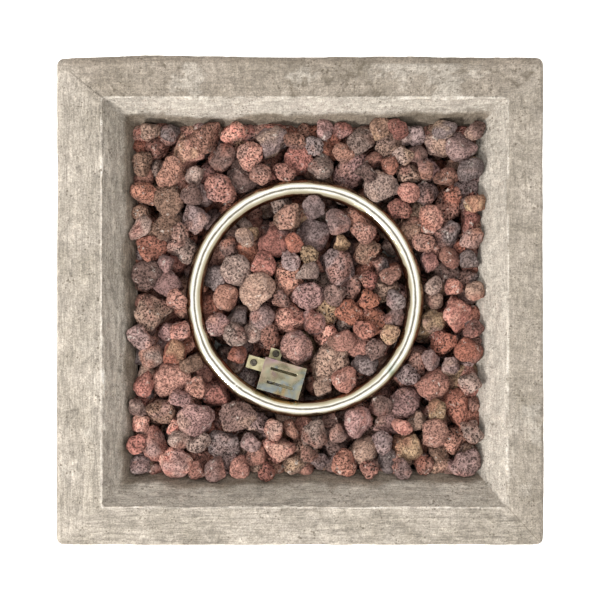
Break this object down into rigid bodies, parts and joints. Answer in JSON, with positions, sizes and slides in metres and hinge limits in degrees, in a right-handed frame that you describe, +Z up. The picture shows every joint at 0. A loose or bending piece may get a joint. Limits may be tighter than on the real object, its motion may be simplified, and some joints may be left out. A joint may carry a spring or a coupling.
{
  "type": "gas fire pit",
  "caption": "Square cast gas fire pit with a sloping bowl of lava rock round a polished ring burner, a rear door for the gas bottle and a front knob and igniter.",
  "frame": {"origin": "centre of the base on the ground", "axes": "+Z up, front with the knob and igniter towards -Y, rear door towards +Y, +X to the right seen from the front"},
  "size_m": [0.508, 0.508, 0.61],
  "materials": {
    "cast_stone": "hand-finished magnesia casting, slate-like relief",
    "cast_stone_column": "hand-finished magnesia casting",
    "black_steel": "black powder coat",
    "pan_steel": "plain zinc-coated sheet",
    "polished_steel": "polished stainless tube",
    "plain_steel": "plain stainless",
    "brass": "machined brass",
    "aluminium": "drawn tube",
    "passivated_steel": "yellow zinc passivation",
    "tinted_steel": "heat-tinted sheet with yellow, green and violet",
    "white_ceramic": "unglazed white alumina",
    "copper": "drawn copper capillary",
    "lead_sleeve": "silicone sleeve",
    "lava_rock": "porous red, brown and grey scoria",
    "brushed_panel": "brushed stainless",
    "black_plastic": "moulded, fine matt grain",
    "red_plastic": "moulded, glossy",
    "satin_steel": "turned and satin polished",
    "foot_rubber": "moulded black rubber",
    "zinc_screws": "zinc-plated steel",
    "hinge_steel": "stainless hinge"
  },
  "bodies": {
    "pit": {"top_casting": "cast_stone", "column_casting": "cast_stone_column", "floor_plate": "black_steel", "tank_ring": "black_steel", "foot_front_left": "foot_rubber", "foot_front_right": "foot_rubber", "foot_back_left": "foot_rubber", "foot_back_right": "foot_rubber", "foot_studs": "zinc_screws", "burner_pan": "pan_steel", "pan_screws": "zinc_screws", "burner_ring": "polished_steel", "ring_legs": "plain_steel", "leg_screws": "zinc_screws", "feed_locknut": "brass", "air_mixer": "brass", "gas_orifice": "brass", "gas_pipe": "aluminium", "pipe_nuts": "brass", "heat_shield": "pan_steel", "shield_screws": "zinc_screws", "pilot_bracket": "passivated_steel", "pilot_cover": "tinted_steel", "pilot_screws": "zinc_screws", "electrode_ceramic": "white_ceramic", "electrode_rod": "plain_steel", "thermocouple_probe": "plain_steel", "thermocouple_lead": "copper", "igniter_lead": "lead_sleeve", "lava_rocks_lower": "lava_rock", "lava_rocks_upper": "lava_rock", "control_panel": "brushed_panel", "panel_screws": "zinc_screws", "valve_body": "brass", "valve_screws": "zinc_screws", "igniter_housing": "black_plastic", "igniter_nut": "black_plastic", "frame_leaf_upper": "hinge_steel", "frame_leaf_lower": "hinge_steel", "hinge_pin_upper": "hinge_steel", "hinge_pin_lower": "hinge_steel", "hinge_screws": "zinc_screws", "catch_magnet": "black_plastic", "catch_screws": "zinc_screws"},
    "door": {"door_panel": "cast_stone_column", "door_backing": "pan_steel", "door_knob": "satin_steel", "strike_plate": "plain_steel", "door_screws": "zinc_screws", "door_leaf_upper": "hinge_steel", "door_leaf_lower": "hinge_steel"},
    "plug": {"valve_plug": "brass"},
    "knob": {"valve_stem": "plain_steel", "control_knob": "black_plastic"},
    "button": {"igniter_button": "red_plastic"}
  },
  "joints": [
    {"name": "door_hinge", "type": "hinge", "parent": "pit", "child": "door", "pos_m": [-0.1685, 0.245, 0.26], "axis": [0, 0, 1], "range_deg": [0, 110]},
    {"name": "valve_turn", "type": "hinge", "parent": "pit", "child": "plug", "pos_m": [0.06063, -0.22, 0.424], "axis": [0, -1, 0], "range_deg": [0, 180]},
    {"name": "knob_push", "type": "slide", "parent": "plug", "child": "knob", "axis": [0, 1, 0], "range_m": [0, 0.004], "stiffness_N_per_m": 1500, "springref_m": -0.002},
    {"name": "igniter_push", "type": "slide", "parent": "pit", "child": "button", "axis": [0, 1, 0], "range_m": [0, 0.0055], "stiffness_N_per_m": 1200, "springref_m": -0.002}
  ]
}
